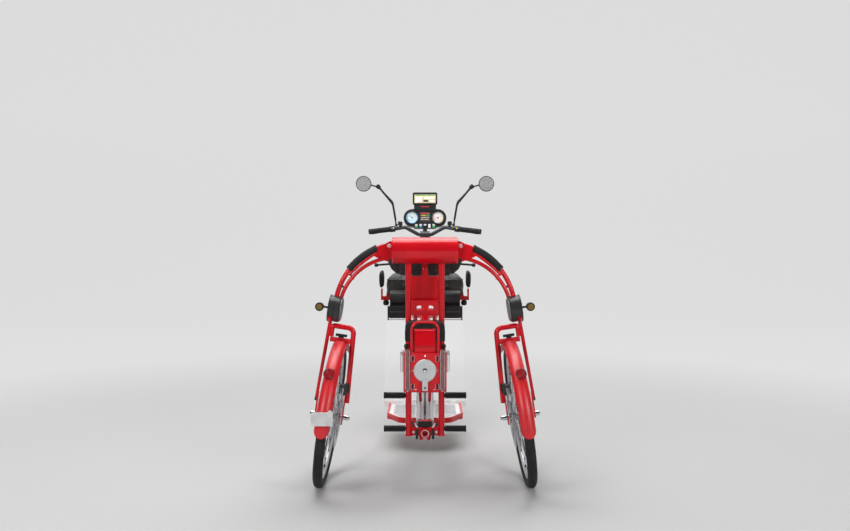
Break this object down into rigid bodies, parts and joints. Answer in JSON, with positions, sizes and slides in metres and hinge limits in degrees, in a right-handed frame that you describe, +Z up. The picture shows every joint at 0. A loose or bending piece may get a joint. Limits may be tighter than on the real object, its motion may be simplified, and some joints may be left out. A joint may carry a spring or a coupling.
{
  "type": "velomobile",
  "caption": "Upright velomobile: cambered rear wheels hang from arched arms on a mast with battery unit and rack, with seat, footboard, leg shield and one steered front wheel.",
  "frame": {"origin": "on the floor under the middle of the bounding box", "axes": "+X to the right as seen from behind, +Y forward, +Z up"},
  "size_m": [1.0642, 2.2214, 1.5165],
  "materials": {
    "tyre": "matt black tread rubber",
    "rim_alloy": "brushed",
    "hub_steel": "satin",
    "red_paint": "gloss",
    "bright_steel": "polished",
    "red_lens": "clear red lens",
    "amber_lens": "clear amber lens",
    "black_metal": "satin",
    "black_rubber": "matt",
    "black_plastic": "fine grain",
    "seat_cover": "soft grain",
    "plate_grey": "blank",
    "alloy_tube": "brushed",
    "clear_panel": "clear sheet",
    "mirror_glass": "silvered",
    "board_grey": "light grey"
  },
  "bodies": {
    "frame": {"arm_sleeves": "black_rubber", "arms_left": "red_paint", "arms_right": "red_paint", "battery_case": "red_paint", "battery_fittings": "bright_steel", "battery_hoop": "red_paint", "battery_pack": "black_plastic", "beam": "alloy_tube", "board_hangers": "black_metal", "bottle_rack": "red_paint", "calipers": "black_metal", "cross_tube": "red_paint", "foot_buffers": "black_rubber", "foot_pegs": "black_rubber", "footboard": "board_grey", "footboard_rim": "red_paint", "knuckle_left": "black_metal", "knuckle_right": "black_metal", "leg_shield": "clear_panel", "mast": "red_paint", "mast_foot": "red_paint", "neck": "red_paint", "number_plate": "plate_grey", "rear_axles": "bright_steel", "rear_fender_left": "red_paint", "rear_fender_right": "red_paint", "rear_fork_left": "red_paint", "rear_fork_right": "red_paint", "seat_back": "seat_cover", "seat_bolsters": "black_rubber", "seat_cushion": "seat_cover", "seat_frame": "red_paint", "seat_knobs": "black_plastic", "side_cases": "black_plastic", "side_lenses": "clear_panel", "tail_lamps": "red_lens", "turn_lamps": "black_plastic", "turn_lenses": "amber_lens"},
    "steering": {"bar_controls": "black_plastic", "display": "black_plastic", "front_axle": "bright_steel", "front_fender": "red_paint", "front_fork": "red_paint", "grips": "black_rubber", "handlebar": "black_metal", "headlamp": "black_metal", "headlamp_lens": "clear_panel", "instrument_pod": "black_plastic", "mirror_glass": "mirror_glass", "mirrors": "black_plastic"},
    "rear_left_wheel": {"rear_tyre_left": "tyre", "rear_rim_left": "rim_alloy", "rear_hub_left": "hub_steel"},
    "rear_right_wheel": {"rear_tyre_right": "tyre", "rear_rim_right": "rim_alloy", "rear_hub_right": "hub_steel"},
    "front_wheel": {"front_tyre": "tyre", "front_rim": "rim_alloy", "front_hub": "hub_steel"}
  },
  "joints": [
    {"name": "steering", "type": "hinge", "parent": "frame", "child": "steering", "pos_m": [0, 0.74153, 0.31064], "axis": [0, -0.3746, 0.9272], "range_deg": [-38, 38]},
    {"name": "front_wheel_spin", "type": "hinge", "parent": "steering", "child": "front_wheel", "pos_m": [0, 0.78325, 0.3275], "axis": [-1, 0, 0], "continuous": true},
    {"name": "rear_left_wheel_spin", "type": "hinge", "parent": "frame", "child": "rear_left_wheel", "pos_m": [-0.43738, -0.73675, 0.32419], "axis": [-0.9891, 0, 0.1469], "continuous": true},
    {"name": "rear_right_wheel_spin", "type": "hinge", "parent": "frame", "child": "rear_right_wheel", "pos_m": [0.43738, -0.73675, 0.32419], "axis": [-0.9891, 0, -0.1469], "continuous": true}
  ]
}
